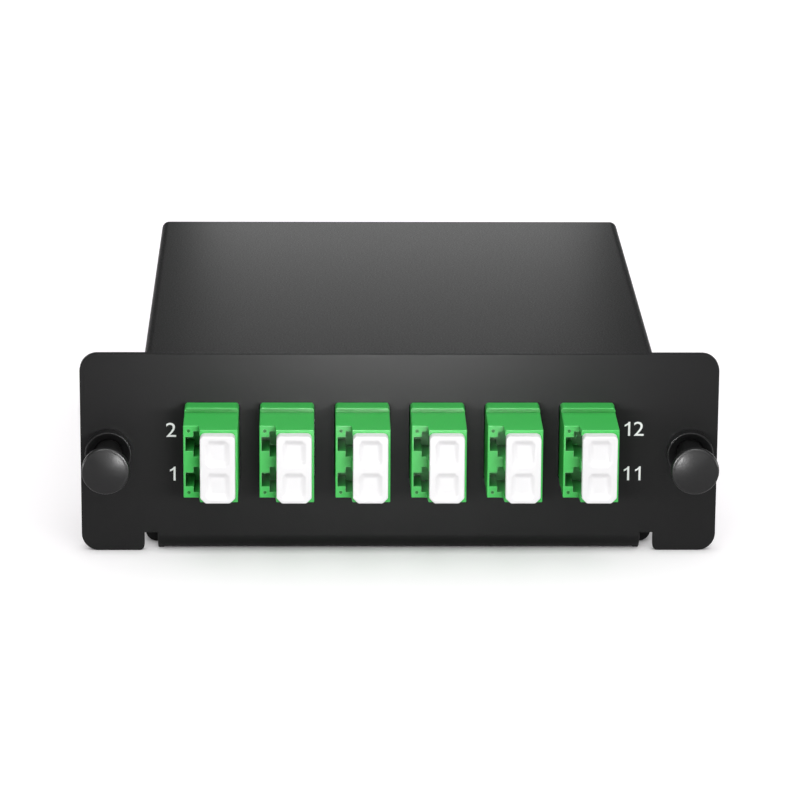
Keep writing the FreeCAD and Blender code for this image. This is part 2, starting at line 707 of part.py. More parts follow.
def make_sleeves():
    """The ceramic sleeves that hold the ferrules in line, in the middle of the adapters."""
    sleeves = []
    for n in range(ADAPTERS):
        for row in (0, 1):
            outside = small_round("sleeve_outside", "sleeve_diameter", "sleeve_length")
            inside = small_round("sleeve_bore", "(ferrule_diameter + 2 * sleeve_clearance)",
                                 "sleeve_length + 2 * overshoot")
            place(inside, "0", "-overshoot", "0")
            sleeve = doc.addObject("Part::Cut", "sleeve")
            sleeve.Base, sleeve.Tool = outside, inside
            place(sleeve, adapter_place(n) + " + port_offset",
                  NOSE_END + " - ferrule_reach - sleeve_length / 2", port_level(row))
            sleeves.append(sleeve)
    return make_group("alignment_sleeves", sleeves)


def make_boots():
    """The soft bend boots behind the plugs."""
    boots = []
    for n in range(ADAPTERS):
        for row in (0, 1):
            boot = small_round("boot", "boot_diameter", "boot_length")
            place(boot, adapter_place(n) + " + port_offset", BOOT_FRONT, port_level(row))
            boots.append(boot)
    return make_group("plug_boots", boots)


CORD_VOLUME_SLACK = 0.01
KNEE_ROUNDS = 8


def rounded_path(points, radii):
    """A wire of straight runs through the points, joined by tangent arcs of the given radii."""
    edges = []
    start = points[0]
    for here, before, after, radius in zip(points[1:-1], points, points[2:], radii):
        back = (before - here).normalize()
        on = (after - here).normalize()
        turn = math.pi - back.getAngle(on)
        if turn < NEAR:
            continue
        reach = radius * math.tan(turn / 2)
        middle = (back + on).normalize()
        crown = here + middle * (radius / math.cos(turn / 2) - radius)
        enter, leave = here + back * reach, here + on * reach
        if (enter - start).Length > NEAR:
            edges.append(Part.LineSegment(start, enter).toShape())
        edges.append(Part.Arc(enter, crown, leave).toShape())
        start = leave
    edges.append(Part.LineSegment(start, points[-1]).toShape())
    return Part.Wire(edges)


def make_cord(label, points, radii, section):
    """A cord along a path, made whole and checked against its section's area times its length."""
    path = rounded_path(points, radii)
    solid = path.makePipeShell([section], True, False)
    if abs(solid.Volume - Part.Face(section).Area * path.Length) > CORD_VOLUME_SLACK * solid.Volume:
        raise ValueError("%s: the volume is off" % label)
    cord = doc.addObject("Part::Feature", label)
    cord.Shape = solid
    return keep(cord, label)


def make_lead(n, row):
    """The lead of one port, straight out of the fan-out block and bent into line with its boot."""
    across = n - (ADAPTERS - 1) / 2
    behind = size("adapter_rear") + size("plug_gap") + size("plug_body_length") + size("boot_length")
    start = Vector(across * size("adapter_pitch") + size("port_offset"), behind,
                   size("adapter_level") + (row - 0.5) * size("port_pitch"))
    end = Vector(across * size("lead_lane"), size("block_front"),
                 size("mpo_level") + (row - 0.5) * size("lead_lane"))
    reach = size("lead_straight")
    for _ in range(KNEE_ROUNDS):
        knee = start + Vector(0, reach, 0)
        turn = (end - knee).getAngle(ALONG_Y)
        reach = size("lead_straight") + size("lead_bend") * math.tan(turn / 2)
    end.y -= size("lead_diameter") / 2 * math.sin(turn) + size("lead_end_gap")
    ring = [math.tau * corner / SMALL_ROUND_SIDES for corner in range(SMALL_ROUND_SIDES)]
    rim = [start + Vector(math.cos(angle), 0, math.sin(angle)) * (size("lead_diameter") / 2) for angle in ring]
    section = Part.makePolygon(rim + rim[:1])
    return make_cord("fibre_lead_%d" % (2 * n + row + 1), [start, knee, end], [size("lead_bend")], section)


def make_fan_out_block():
    """The moulded block on the floor where the ribbon's fibres part into leads."""
    body = new_body("fan_out_block")
    place(body, "0", "block_front", FLOOR)
    plan = sketch_on(body, "XY")
    half, tail = "block_wide / 2", "ribbon_tall / 2"
    draw_outline(plan, [
        ("-%s" % half, "0"), (half, "0"), (half, "block_straight"), (tail, "block_length"),
        ("-%s" % tail, "block_length"), ("-%s" % half, "block_straight")])
    pad(body, plan, "XY", "mpo_level + block_above - (%s)" % FLOOR)
    return body


def make_ribbon():
    """The flat ribbon on its edge: from the rear plug, round a loop and into the fan-out block."""
    level = size("mpo_level")
    inner_end = size("box_depth") - size("tray_sheet") - size("mpo_inside")
    start_y = inner_end - size("mpo_plug_length") - size("mpo_boot_length")
    right = size("mpo_offset")
    left = right - 2 * size("ribbon_loop_radius")
    low = size("ribbon_loop_start") - size("ribbon_loop_radius")
    tail = size("block_front") + size("block_length")
    back = tail + size("ribbon_tail") + size("ribbon_turn_radius")
    points = [Vector(right, start_y, level), Vector(right, low, level), Vector(left, low, level),
              Vector(left, back, level), Vector(0, back, level), Vector(0, tail, level)]
    loop, turn = size("ribbon_loop_radius"), size("ribbon_turn_radius")
    wide, tall = size("ribbon_thick") / 2, size("ribbon_tall") / 2
    section = Part.makePolygon([Vector(right + x, start_y, level + z) for x, z in (
        (-wide, -tall), (wide, -tall), (wide, tall), (-wide, tall), (-wide, -tall))])
    return make_cord("fibre_ribbon", points, [loop, loop, turn, turn], section)


def make_ribbon_clips():
    """Posts stuck to the floor whose slots hold the ribbon's loop."""
    clips = []
    for side, across, ahead in (("right", "mpo_offset", "post_right_ahead"),
                                ("left", "mpo_offset - 2 * ribbon_loop_radius", "post_left_ahead")):
        along = "ribbon_loop_start + " + ahead
        post = doc.addObject("Part::Box", "post_" + side)
        bind(post, "Length", "post_wide")
        bind(post, "Width", "post_length")
        bind(post, "Height", "mpo_level + ribbon_tall / 2 + post_rim - (%s)" % FLOOR)
        place(post, "%s - post_wide / 2" % across, along, FLOOR)
        slot = doc.addObject("Part::Box", "post_slot_" + side)
        bind(slot, "Length", "ribbon_thick + 2 * ribbon_clearance")
        bind(slot, "Width", "post_length + 2 * overshoot")
        bind(slot, "Height", "ribbon_tall + post_rim + overshoot")
        place(slot, "%s - ribbon_thick / 2 - ribbon_clearance" % across, along + " - overshoot",
              "mpo_level - ribbon_tall / 2 - ribbon_clearance")
        clip = doc.addObject("Part::Cut", "clip_" + side)
        clip.Base, clip.Tool = post, slot
        clips.append(clip)
    return make_group("ribbon_clips", clips)


def make_mpo_adapter():
    """The rear adapter: a rectangular port at each end and a flange with two screws."""
    body = new_body("mpo_adapter")
    place(body, "mpo_offset", "box_depth", "mpo_level")
    section = sketch_on(body, "XZ", "-tray_sheet - mpo_inside")
    draw_centred(section, "0", "0", "mpo_wide", "mpo_tall")
    pad(body, section, "XZ", "tray_sheet + mpo_inside + mpo_outside")
    flange = sketch_on(body, "XZ")
    draw_centred(flange, "0", "0", "mpo_flange_wide", "mpo_tall + 2 * flange_step")
    pad(body, flange, "XZ", "mpo_flange_thick")
    fillet(body, "mpo_flange_corner", lambda e: straight(e, ALONG_Y) and abs(
        abs(e.CenterOfMass.x) - size("mpo_flange_wide") / 2) < NEAR)
    for start, sense, depth in (("mpo_outside", -1, "mpo_outside - mpo_wall / 2"),
                                ("-tray_sheet - mpo_inside", 1, "mpo_inside + tray_sheet - mpo_wall / 2")):
        port = sketch_on(body, "XZ", start)
        wide, tall, key = "mpo_port_wide / 2", "mpo_port_tall / 2", "mpo_key_wide / 2"
        draw_outline(port, [
            ("-" + wide, "-" + tall), (wide, "-" + tall), (wide, tall), (key, tall),
            (key, tall + " + mpo_key_tall"), ("-" + key, tall + " + mpo_key_tall"), ("-" + key, tall),
            ("-" + wide, tall)])
        pocket(body, port, "XZ", depth, sense=sense)
    window = sketch_on(body, "XZ")
    draw_centred(window, "0", "0", "mpo_window_wide", "mpo_window_tall")
    pocket(body, window, "XZ", "mpo_outside", centred=True)
    holes = sketch_on(body, "XZ")
    for sign in ("-", ""):
        draw_small_round(holes, sign + "mpo_screw_pitch / 2", "0", "(screw_diameter + 2 * screw_clearance)",
                         SCREW_SIDES)
    pocket(body, holes, "XZ", "mpo_flange_thick")
    return body


def make_mpo_screws():
    """The screws that hold the rear adapter's flange on the rear wall."""
    screws = []
    for sign in ("-", "+"):
        head = small_round("mpo_screw_head", "screw_head_diameter", "mpo_head_thick", SCREW_SIDES)
        shank = small_round("mpo_screw_shank", "screw_diameter", "mpo_screw_length", SCREW_SIDES)
        place(shank, "0", "-mpo_screw_length", "0")
        screw = doc.addObject("Part::Fuse", "mpo_screw")
        screw.Base, screw.Tool = head, shank
        place(screw, "mpo_offset %s mpo_screw_pitch / 2" % sign, "box_depth + mpo_flange_thick", "mpo_level")
        screws.append(screw)
    return make_group("mpo_adapter_screws", screws)


def make_mpo_dust_cap():
    """The rear port's cap: a ribbed plate and a stem that fills the port's mouth."""
    body = new_body("mpo_dust_cap")
    place(body, "mpo_offset", "box_depth + mpo_outside + cap_gap", "mpo_level")
    plate = sketch_on(body, "XZ")
    draw_centred(plate, "0", "0", "mpo_wide", "mpo_tall")
    pad(body, plate, "XZ", "cap_thick")
    fillet(body, "cap_corner", lambda e: straight(e, ALONG_Y))
    stem = sketch_on(body, "XZ")
    draw_centred(stem, "0", "0", "mpo_port_wide - 2 * stem_clearance", "mpo_port_tall - 2 * stem_clearance")
    pad(body, stem, "XZ", "stem_length", sense=-1)
    hollow = sketch_on(body, "XZ", "-stem_length")
    wall = "2 * (stem_clearance + mpo_stem_wall)"
    draw_centred(hollow, "0", "0", "mpo_port_wide - " + wall, "mpo_port_tall - " + wall)
    pocket(body, hollow, "XZ", "stem_bore_depth")
    return body


def make_mpo_plug():
    """The multi-fibre plug in the rear adapter's inner end."""
    body = new_body("mpo_plug")
    place(body, "mpo_offset", "box_depth - tray_sheet - mpo_inside", "mpo_level")
    nose = sketch_on(body, "XZ", "-plug_gap")
    draw_centred(nose, "0", "0", "mpo_port_wide - 2 * mpo_nose_clearance", "mpo_port_tall - 2 * mpo_nose_clearance")
    pad(body, nose, "XZ", "mpo_inside - mpo_wall")
    shell = sketch_on(body, "XZ", "-plug_gap")
    draw_centred(shell, "0", "0", "mpo_plug_wide", "mpo_plug_tall")
    pad(body, shell, "XZ", "mpo_plug_length - plug_gap", sense=-1)
    fillet(body, "mpo_plug_corner", lambda e: straight(e, ALONG_Y) and abs(
        abs(e.CenterOfMass.x) - size("mpo_plug_wide") / 2) < NEAR)
    return body


def make_mpo_boot():
    """The plug's tapered boot."""
    body = new_body("mpo_plug_boot")
    place(body, "mpo_offset", "box_depth - tray_sheet - mpo_inside - mpo_plug_length", "mpo_level")
    root = sketch_on(body, "XZ")
    draw_centred(root, "0", "0", "mpo_boot_wide", "mpo_boot_tall")
    shaft = pad(body, root, "XZ", "mpo_boot_length", sense=-1)
    bind(shaft, "TaperAngle", "-mpo_boot_taper * 1 deg")
    return body


def turn_profile(body, sketch):
    """Turn a half profile about the body's own Y axis."""
    feature = body.newObject("PartDesign::Revolution", body.Label + "_turned")
    feature.Profile = sketch
    feature.ReferenceAxis = ([f for f in body.Origin.OriginFeatures if f.Role == "Y_Axis"][0], [""])
    feature.Angle = 360
    body.Tip = feature
    return feature


def make_latch(side, sign):
    """A push-pull latch: a split grommet in the ear's hole and a domed plunger in its bore."""
    grommet = new_body("latch_grommet_" + side)
    place(grommet, "%s * latch_place" % sign, z="latch_level")
    bore = "plunger_diameter / 2 + plunger_clearance"
    shank = "latch_hole_diameter / 2"
    profile = sketch_on(grommet, "XY")
    draw_outline(profile, [
        (bore, "-tray_sheet - collar_thick + funnel_depth"), ("funnel_diameter / 2", "-tray_sheet - collar_thick"),
        ("collar_diameter / 2", "-tray_sheet - collar_thick"), ("collar_diameter / 2", "-tray_sheet"),
        (shank, "-tray_sheet"), (shank, "0"), ("leg_diameter / 2", "0"), ("leg_diameter / 2", "leg_straight"),
        (bore + " + leg_tip_wall", "grommet_reach"), (bore, "grommet_reach")])
    turn_profile(grommet, profile)
    slit = sketch_on(grommet, "XY")
    draw_rectangle(slit, "-slit_width / 2", "slit_width / 2", "slit_start", "grommet_reach + overshoot")
    pocket(grommet, slit, "XY", "2 * collar_diameter", centred=True)

    plunger = new_body("latch_plunger_" + side)
    place(plunger, "%s * latch_place" % sign, z="latch_level")
    front = "-tray_sheet - collar_thick - plunger_out"
    half = sketch_on(plunger, "XY")
    draw_outline(half, [
        ("0", front + " - head_thick"), ("head_flat_diameter / 2", front + " - head_thick"),
        ("head_diameter / 2", front + " - head_thick + head_dome"), ("head_diameter / 2", front),
        ("plunger_diameter / 2", front), ("plunger_diameter / 2", "slit_start"), ("0", "slit_start")])
    turn_profile(plunger, half)
    return grommet, plunger


def build():
    make_base_tray()
    make_top_cover()
    make_cover_screws()
    for n in range(ADAPTERS):
        make_adapter(n)
        make_dust_cap(n)
        make_adapter_clip(n)
    for n in range(ADAPTERS):
        for row in (0, 1):
            make_plug(n, row)
            make_lead(n, row)
    make_ferrules()
    make_sleeves()
    make_boots()
    make_fan_out_block()
    make_ribbon()
    make_ribbon_clips()
    make_mpo_adapter()
    make_mpo_screws()
    make_mpo_dust_cap()
    make_mpo_plug()
    make_mpo_boot()
    make_latch("left", -1)
    make_latch("right", 1)
    doc.recompute()


def check():
    """Stop if any object failed or any sub-part has no sound solid."""
    for thing in doc.Objects:
        if "Invalid" in thing.State or "Error" in thing.State:
            raise ValueError("%s failed: %s" % (thing.Label, thing.State))
    for part in subparts:
        if part.Shape.isNull() or not part.Shape.isValid() or not part.Shape.Solids:
            raise ValueError("%s has no sound solid" % part.Label)


def write():
    os.makedirs("parts", exist_ok=True)
    for part in subparts:
        part.Shape.exportStep("parts/%s.step" % part.Label)


build()
check()
write()
for part in subparts:
    print("%-22s %2d solids %10.1f mm3" % (part.Label, len(part.Shape.Solids), part.Shape.Volume))
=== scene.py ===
import math

import bmesh
import bpy
from mathutils import Matrix, Vector
from mathutils.bvhtree import BVHTree


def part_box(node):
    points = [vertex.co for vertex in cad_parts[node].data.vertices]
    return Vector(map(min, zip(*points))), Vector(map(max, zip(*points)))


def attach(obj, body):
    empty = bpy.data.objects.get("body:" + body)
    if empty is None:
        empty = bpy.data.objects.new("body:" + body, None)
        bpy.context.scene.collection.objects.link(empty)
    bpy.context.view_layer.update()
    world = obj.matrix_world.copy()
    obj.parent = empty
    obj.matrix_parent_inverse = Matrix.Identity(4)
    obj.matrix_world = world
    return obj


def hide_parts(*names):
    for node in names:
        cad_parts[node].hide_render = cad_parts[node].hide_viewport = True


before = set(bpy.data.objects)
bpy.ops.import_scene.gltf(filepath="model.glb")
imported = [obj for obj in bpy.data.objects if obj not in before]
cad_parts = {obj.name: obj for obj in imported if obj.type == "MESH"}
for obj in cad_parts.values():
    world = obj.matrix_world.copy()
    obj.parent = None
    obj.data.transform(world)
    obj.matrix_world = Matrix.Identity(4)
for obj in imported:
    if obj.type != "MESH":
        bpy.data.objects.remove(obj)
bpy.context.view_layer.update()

# A black fibre cassette with six green duplex adapters, white dust caps and two push latches, on a pale floor.
# Everything is in metres. X runs along the front panel, +Y goes to the rear and +Z is up.

MM = 0.001
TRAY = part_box("base_tray")
PANEL_FACE = TRAY[0].y
FLOOR_LEVEL = TRAY[0].z
ADAPTERS = range(1, 7)
PLUGS = range(1, 13)
SIDES = ("left", "right")


# Shader helpers

def add(tree, kind, inputs=(), **settings):
    """A shader node with its settings and the values or links of its inputs."""
    made = tree.nodes.new("ShaderNode" + kind)
    for name, setting in settings.items():
        setattr(made, name, setting)
    for socket, given in dict(inputs).items():
        if isinstance(given, bpy.types.NodeSocket):
            tree.links.new(given, made.inputs[socket])
        else:
            made.inputs[socket].default_value = given
    return made


def new_group(name, takes, gives):
    """An empty node group with named inputs, each with a default, and named outputs."""
    group = bpy.data.node_groups.new(name, "ShaderNodeTree")
    for label, kind, default in takes:
        socket = group.interface.new_socket(label, in_out="INPUT", socket_type="NodeSocket" + kind)
        socket.default_value = default
    for label, kind in gives:
        group.interface.new_socket(label, in_out="OUTPUT", socket_type="NodeSocket" + kind)
    return group, group.nodes.new("NodeGroupInput"), group.nodes.new("NodeGroupOutput")


def make_grain_group():
    """Fine bumps with a coarser ripple under them, for powder coat and moulded plastic."""
    group, given, out = new_group(
        "grain", [("Size", "Float", 3000.0), ("Ripple", "Float", 0.3)], [("Height", "Float"), ("Mask", "Float")])
    place = add(group, "TexCoord")
    fine = add(group, "TexNoise", {"Vector": place.outputs["Object"], "Scale": given.outputs["Size"],
                                   "Detail": 3.0, "Roughness": 0.6})
    wide = add(group, "Math", {0: given.outputs["Size"], 1: 0.22}, operation="MULTIPLY")
    coarse = add(group, "TexNoise", {"Vector": place.outputs["Object"], "Scale": wide.outputs[0], "Detail": 1.0})
    mixed = add(group, "Mix", {0: given.outputs["Ripple"], 2: fine.outputs["Fac"], 3: coarse.outputs["Fac"]})
    spread = add(group, "MapRange", {"Value": fine.outputs["Fac"], "From Min": 0.35, "From Max": 0.65})
    group.links.new(mixed.outputs[0], out.inputs["Height"])
    group.links.new(spread.outputs["Result"], out.inputs["Mask"])
    return group


def make_edge_group():
    """A mask that is 1 on convex edges and fades over the given width, broken up by noise. It lightens edges, as
    wear and as painted highlight.
    """
    group, given, out = new_group("edge_wear_and_highlight", [("Width", "Float", 0.0002), ("Gain", "Float", 2.0)],
                                  [("Mask", "Float")])
    eased = add(group, "Bevel", {"Radius": given.outputs["Width"]}, samples=4)
    flat = add(group, "NewGeometry")
    along = add(group, "VectorMath", {0: eased.outputs["Normal"], 1: flat.outputs["Normal"]},
                operation="DOT_PRODUCT")
    off = add(group, "Math", {0: 1.0, 1: along.outputs["Value"]}, operation="SUBTRACT")
    place = add(group, "TexCoord")
    patch = add(group, "TexNoise", {"Vector": place.outputs["Object"], "Scale": 400.0, "Detail": 2.0})
    broken = add(group, "Math", {0: off.outputs[0], 1: patch.outputs["Fac"]}, operation="MULTIPLY")
    strong = add(group, "Math", {0: broken.outputs[0], 1: given.outputs["Gain"]}, operation="MULTIPLY",
                 use_clamp=True)
    group.links.new(strong.outputs[0], out.inputs["Mask"])
    return group


def make_shade_group():
    """Slow changes of tone across a surface, as a colour between the two given ones."""
    group, given, out = new_group(
        "slow_shade", [("Low", "Color", (0, 0, 0, 1)), ("High", "Color", (1, 1, 1, 1)), ("Size", "Float", 60.0)],
        [("Color", "Color")])
    place = add(group, "TexCoord")
    cloud = add(group, "TexNoise", {"Vector": place.outputs["Object"], "Scale": given.outputs["Size"],
                                    "Detail": 2.0})
    blend = add(group, "Mix", {0: cloud.outputs["Fac"], 6: given.outputs["Low"], 7: given.outputs["High"]},
                data_type="RGBA")
    group.links.new(blend.outputs[2], out.inputs["Color"])
    return group


def make_crevice_group():
    """A painted-shade mask from ambient occlusion. It is 1 deep in inner corners, where shade falls, and fades out
    over the given reach.
    """
    group, given, out = new_group("crevice_shade", [("Reach", "Float", 0.002), ("Gain", "Float", 1.5)],
                                  [("Mask", "Float")])
    open_sky = add(group, "AmbientOcclusion", {"Distance": given.outputs["Reach"]}, samples=8, only_local=True)
    hidden = add(group, "Math", {0: 1.0, 1: open_sky.outputs["AO"]}, operation="SUBTRACT")
    strong = add(group, "Math", {0: hidden.outputs[0], 1: given.outputs["Gain"]}, operation="MULTIPLY",
                 use_clamp=True)
    group.links.new(strong.outputs[0], out.inputs["Mask"])
    return group


GRAIN = make_grain_group()
EDGE_WEAR_AND_HIGHLIGHT = make_edge_group()
CORNER_SHADE = make_crevice_group()
SLOW_SHADE = make_shade_group()


def finish_of(name, low, high, roughness, grain_size, bump, wear_and_highlight=0.0, wear_and_highlight_color=(1, 1, 1), rough_spread=0.08,
              edge_width=0.0002, corner_shade_gain=0.0, corner_shade_color=(0, 0, 0), corner_shade_reach=0.002, **shader_values):
    """A surface finish: slowly changing colour, grain in bump and roughness, edges lightened as wear and as
    painted highlight, and painted shade darkening the inner corners.
    """
    material = bpy.data.materials.new(name)
    material.use_nodes = True
    tree = material.node_tree
    shader = tree.nodes["Principled BSDF"]
    shade = add(tree, "Group", node_tree=SLOW_SHADE)
    shade.inputs["Low"].default_value = (*low, 1)
    shade.inputs["High"].default_value = (*high, 1)
    grain = add(tree, "Group", node_tree=GRAIN)
    grain.inputs["Size"].default_value = grain_size
    color = shade.outputs["Color"]
    if wear_and_highlight:
        edge = add(tree, "Group", node_tree=EDGE_WEAR_AND_HIGHLIGHT)
        edge.inputs["Width"].default_value = edge_width
        edge.inputs["Gain"].default_value = wear_and_highlight
        # Lighter edges: wear, and a painted highlight where edges would catch the light.
        edge_tinted = add(tree, "Mix", {0: edge.outputs["Mask"], 6: color, 7: (*wear_and_highlight_color, 1)}, data_type="RGBA")
        color = edge_tinted.outputs[2]
    # Painted shade: the colour is mixed towards a darker one in inner corners.
    if corner_shade_gain:
        deep = add(tree, "Group", node_tree=CORNER_SHADE)
        deep.inputs["Reach"].default_value = corner_shade_reach
        deep.inputs["Gain"].default_value = corner_shade_gain
        shaded = add(tree, "Mix", {0: deep.outputs["Mask"], 6: color, 7: (*corner_shade_color, 1)}, data_type="RGBA")
        color = shaded.outputs[2]
    tree.links.new(color, shader.inputs["Base Color"])
    rough = add(tree, "MapRange", {"Value": grain.outputs["Mask"], "To Min": roughness - rough_spread,
                                   "To Max": roughness + rough_spread})
    tree.links.new(rough.outputs["Result"], shader.inputs["Roughness"])
    relief = add(tree, "Bump", {"Height": grain.outputs["Height"], "Strength": 1.0, "Distance": bump})
    tree.links.new(relief.outputs["Normal"], shader.inputs["Normal"])
    for socket, number in shader_values.items():
        shader.inputs[socket.replace("_", " ")].default_value = number
    return material


# The powder coat's lighter edges are a painted highlight.
POWDER_COAT = finish_of("powder_coat", (0.0075, 0.0075, 0.0077), (0.0095, 0.0095, 0.0097), 0.45, 3800.0, 0.00002,
                        wear_and_highlight=1.0, wear_and_highlight_color=(0.02, 0.02, 0.0205), Specular_IOR_Level=0.11)
BLACK_STEEL = finish_of("black_steel", (0.03, 0.03, 0.031), (0.045, 0.045, 0.047), 0.35, 2500.0, 0.00001,
                        wear_and_highlight=2.0, wear_and_highlight_color=(0.2, 0.2, 0.2))
# The adapters' pale green edges are a painted highlight, and their dark green inner corners are painted shade.
ADAPTER_GREEN = finish_of("adapter_green", (0.055, 0.55, 0.098), (0.06, 0.58, 0.107), 0.36, 5200.0, 0.000003,
                          wear_and_highlight=2.8, wear_and_highlight_color=(0.36, 0.88, 0.41), rough_spread=0.04, edge_width=0.00018,
                          corner_shade_gain=2.4, corner_shade_color=(0.014, 0.26, 0.033), corner_shade_reach=0.0022,
                          Specular_IOR_Level=0.22)
CAP_WHITE = finish_of("cap_white", (0.86, 0.86, 0.863), (0.875, 0.875, 0.878), 0.42, 4500.0, 0.000002,
                      rough_spread=0.04, Specular_IOR_Level=0.25)
SPRING_STEEL = finish_of("spring_steel", (0.52, 0.52, 0.53), (0.6, 0.6, 0.61), 0.3, 2200.0, 0.000006, Metallic=1.0)
PLUG_GREEN = finish_of("plug_green", (0.045, 0.34, 0.08), (0.055, 0.4, 0.1), 0.42, 1800.0, 0.000006)
LEAD_YELLOW = finish_of("lead_yellow", (0.72, 0.55, 0.08), (0.8, 0.63, 0.11), 0.45, 2500.0, 0.000004)
CERAMIC = finish_of("ceramic", (0.84, 0.83, 0.8), (0.88, 0.87, 0.84), 0.15, 4000.0, 0.000001)
BOOT_WHITE = finish_of("boot_white", (0.78, 0.78, 0.78), (0.84, 0.84, 0.84), 0.6, 2500.0, 0.000008)
MOULDING_GREY = finish_of("moulding_grey", (0.26, 0.27, 0.28), (0.32, 0.33, 0.34), 0.5, 2000.0, 0.00001)
# The latch's near-black inner corners are painted shade.
LATCH_BLACK = finish_of("latch_black", (0.008, 0.008, 0.0082), (0.011, 0.011, 0.0113), 0.36, 2600.0, 0.000004,
                        rough_spread=0.04, wear_and_highlight=1.2, wear_and_highlight_color=(0.05, 0.05, 0.05), corner_shade_gain=1.6,
                        corner_shade_color=(0.001, 0.001, 0.001), Specular_IOR_Level=0.24)
PORT_PRINT = finish_of("port_print", (0.84, 0.84, 0.84), (0.9, 0.9, 0.9), 0.6, 5000.0, 0.000006)


# Shape helpers

EASE_ANGLE = 32
TURNED_ANGLE = 40
FLAT_ANGLE = 0.5
SAME_SPOT = 1e-7
RIM_BAND = 1.2 * MM
LEVEL_WITHIN = 0.01 * MM
TURN_STEPS = 72
ARC_STEPS = 5


def put(form, name, body, slot, material):
    """A finished mesh as a piece that rides on a body and takes the given material; the slot is not used."""
    mesh = bpy.data.meshes.new(name)
    form.to_mesh(mesh)
    form.free()
    piece = bpy.data.objects.new(name, mesh)
    bpy.context.scene.collection.objects.link(piece)
    piece.data.materials.append(material)
    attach(piece, body)
    return piece


def sharp_edges(form, degrees):
    """The edges that turn by more than the given angle."""
    return [e for e in form.edges if len(e.link_faces) == 2 and e.calc_face_angle() > math.radians(degrees)]


def outer_edges(form, degrees):
    """The outward edges on the form's left, right, top and bottom, without those of its openings."""
    low, high = [[pick(v.co[axis] for v in form.verts) for axis in (0, 2)] for pick in (min, max)]
    bounds = ((0, low[0]), (0, high[0]), (2, low[1]), (2, high[1]))
    return [e for e in sharp_edges(form, degrees) if e.is_convex and any(
        abs(v.co[axis] - bound) < RIM_BAND and abs(e.verts[0].co[axis] - e.verts[1].co[axis]) < LEVEL_WITHIN
        for v in e.verts for axis, bound in bounds)]


def join_flats(form):
    """Merge loose triangles into whole flat faces."""
    bmesh.ops.remove_doubles(form, verts=form.verts, dist=SAME_SPOT)
    bmesh.ops.dissolve_limit(form, angle_limit=math.radians(FLAT_ANGLE), verts=form.verts, edges=form.edges)


def shade_smooth(form, degrees):
    """Smooth shading that breaks at the edges that turn by more than the given angle."""
    for face in form.faces:
        face.smooth = True
    for edge in sharp_edges(form, degrees):
        edge.smooth = False


def eased(node, name, body, slot, material, width, segments=2, worked=None, picked=sharp_edges):
    """The solid of a node with its triangles joined into flat faces, worked on, and its edges rounded.

    Where edges that run on almost straight meet, rounding throws out spikes. They are drawn back to the solid.
    """
    form = bmesh.new()
    form.from_mesh(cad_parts[node].data)
    join_flats(form)
    if worked:
        form = worked(form)
    shell = BVHTree.FromBMesh(form)
    low, high = [[pick(v.co[axis] for v in form.verts) for axis in range(3)] for pick in (min, max)]
    bmesh.ops.bevel(form, geom=picked(form, EASE_ANGLE), offset=width, offset_type="OFFSET", segments=segments,
                    profile=0.5, affect="EDGES", clamp_overlap=False, material=-1)
    for vert in form.verts:
        spot, _, _, gap = shell.find_nearest(vert.co)
        if gap > width:
            vert.co = spot
        vert.co = [min(max(at, least), most) for at, least, most in zip(vert.co, low, high)]
    shade_smooth(form, EASE_ANGLE)
    piece = put(form, name, body, slot, material)
    harden = piece.modifiers.new("weighted_normals", "WEIGHTED_NORMAL")
    harden.keep_sharp = True
    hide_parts(node)
    return piece


def spun(name, body, slot, material, centre, profile):
    """A turned piece: a half profile of (radius, along) pairs spun about the axis along Y."""
    form = bmesh.new()
    ring = [form.verts.new((radius, along, 0.0)) for radius, along in profile]
    edges = [form.edges.new(pair) for pair in zip(ring, ring[1:])]
    bmesh.ops.spin(form, geom=ring + edges, cent=(0, 0, 0), axis=(0, 1, 0), angle=math.tau, steps=TURN_STEPS,
                   use_merge=True, use_duplicate=False)
    bmesh.ops.remove_doubles(form, verts=form.verts, dist=SAME_SPOT)
    bmesh.ops.recalc_face_normals(form, faces=form.faces)
    bmesh.ops.translate(form, verts=form.verts, vec=centre)
    shade_smooth(form, TURNED_ANGLE)
    return put(form, name, body, slot, material)


def rounded(points, radius):
    """The profile with each inner corner replaced by a short arc."""
    shaped = [points[0]]
    for before, here, after in zip(points, points[1:], points[2:]):
        corner, back, on = Vector(here), Vector(before) - Vector(here), Vector(after) - Vector(here)
        reach = min(radius, back.length * 0.45, on.length * 0.45)
        start, end = corner + back.normalized() * reach, corner + on.normalized() * reach
        for step in range(ARC_STEPS + 1):
            t = step / ARC_STEPS
            spot = start * (1 - t) ** 2 + corner * 2 * t * (1 - t) + end * t ** 2
            shaped.append((spot.x, spot.y))
    shaped.append(points[-1])
    return shaped


# Sheet metal

eased("base_tray", "folded_tray", "cassette", "powder_coat", POWDER_COAT, 0.14 * MM)
eased("top_cover", "folded_cover", "cassette", "powder_coat", POWDER_COAT, 0.12 * MM)
eased("cover_screws", "cover_screw_set", "cassette", "black_steel", BLACK_STEEL, 0.08 * MM)

# Adapters and dust caps

DIMPLE_WIDE = 0.58 * MM
DIMPLE_DEPTH = 0.35 * MM
DIMPLE_FROM_SIDE = 0.9 * MM
DIMPLE_FROM_END = 0.95 * MM
DIMPLE_SIDES = 20
LATCH_SETBACK = 2.6 * MM
BODY_TALL = 12.7 * MM


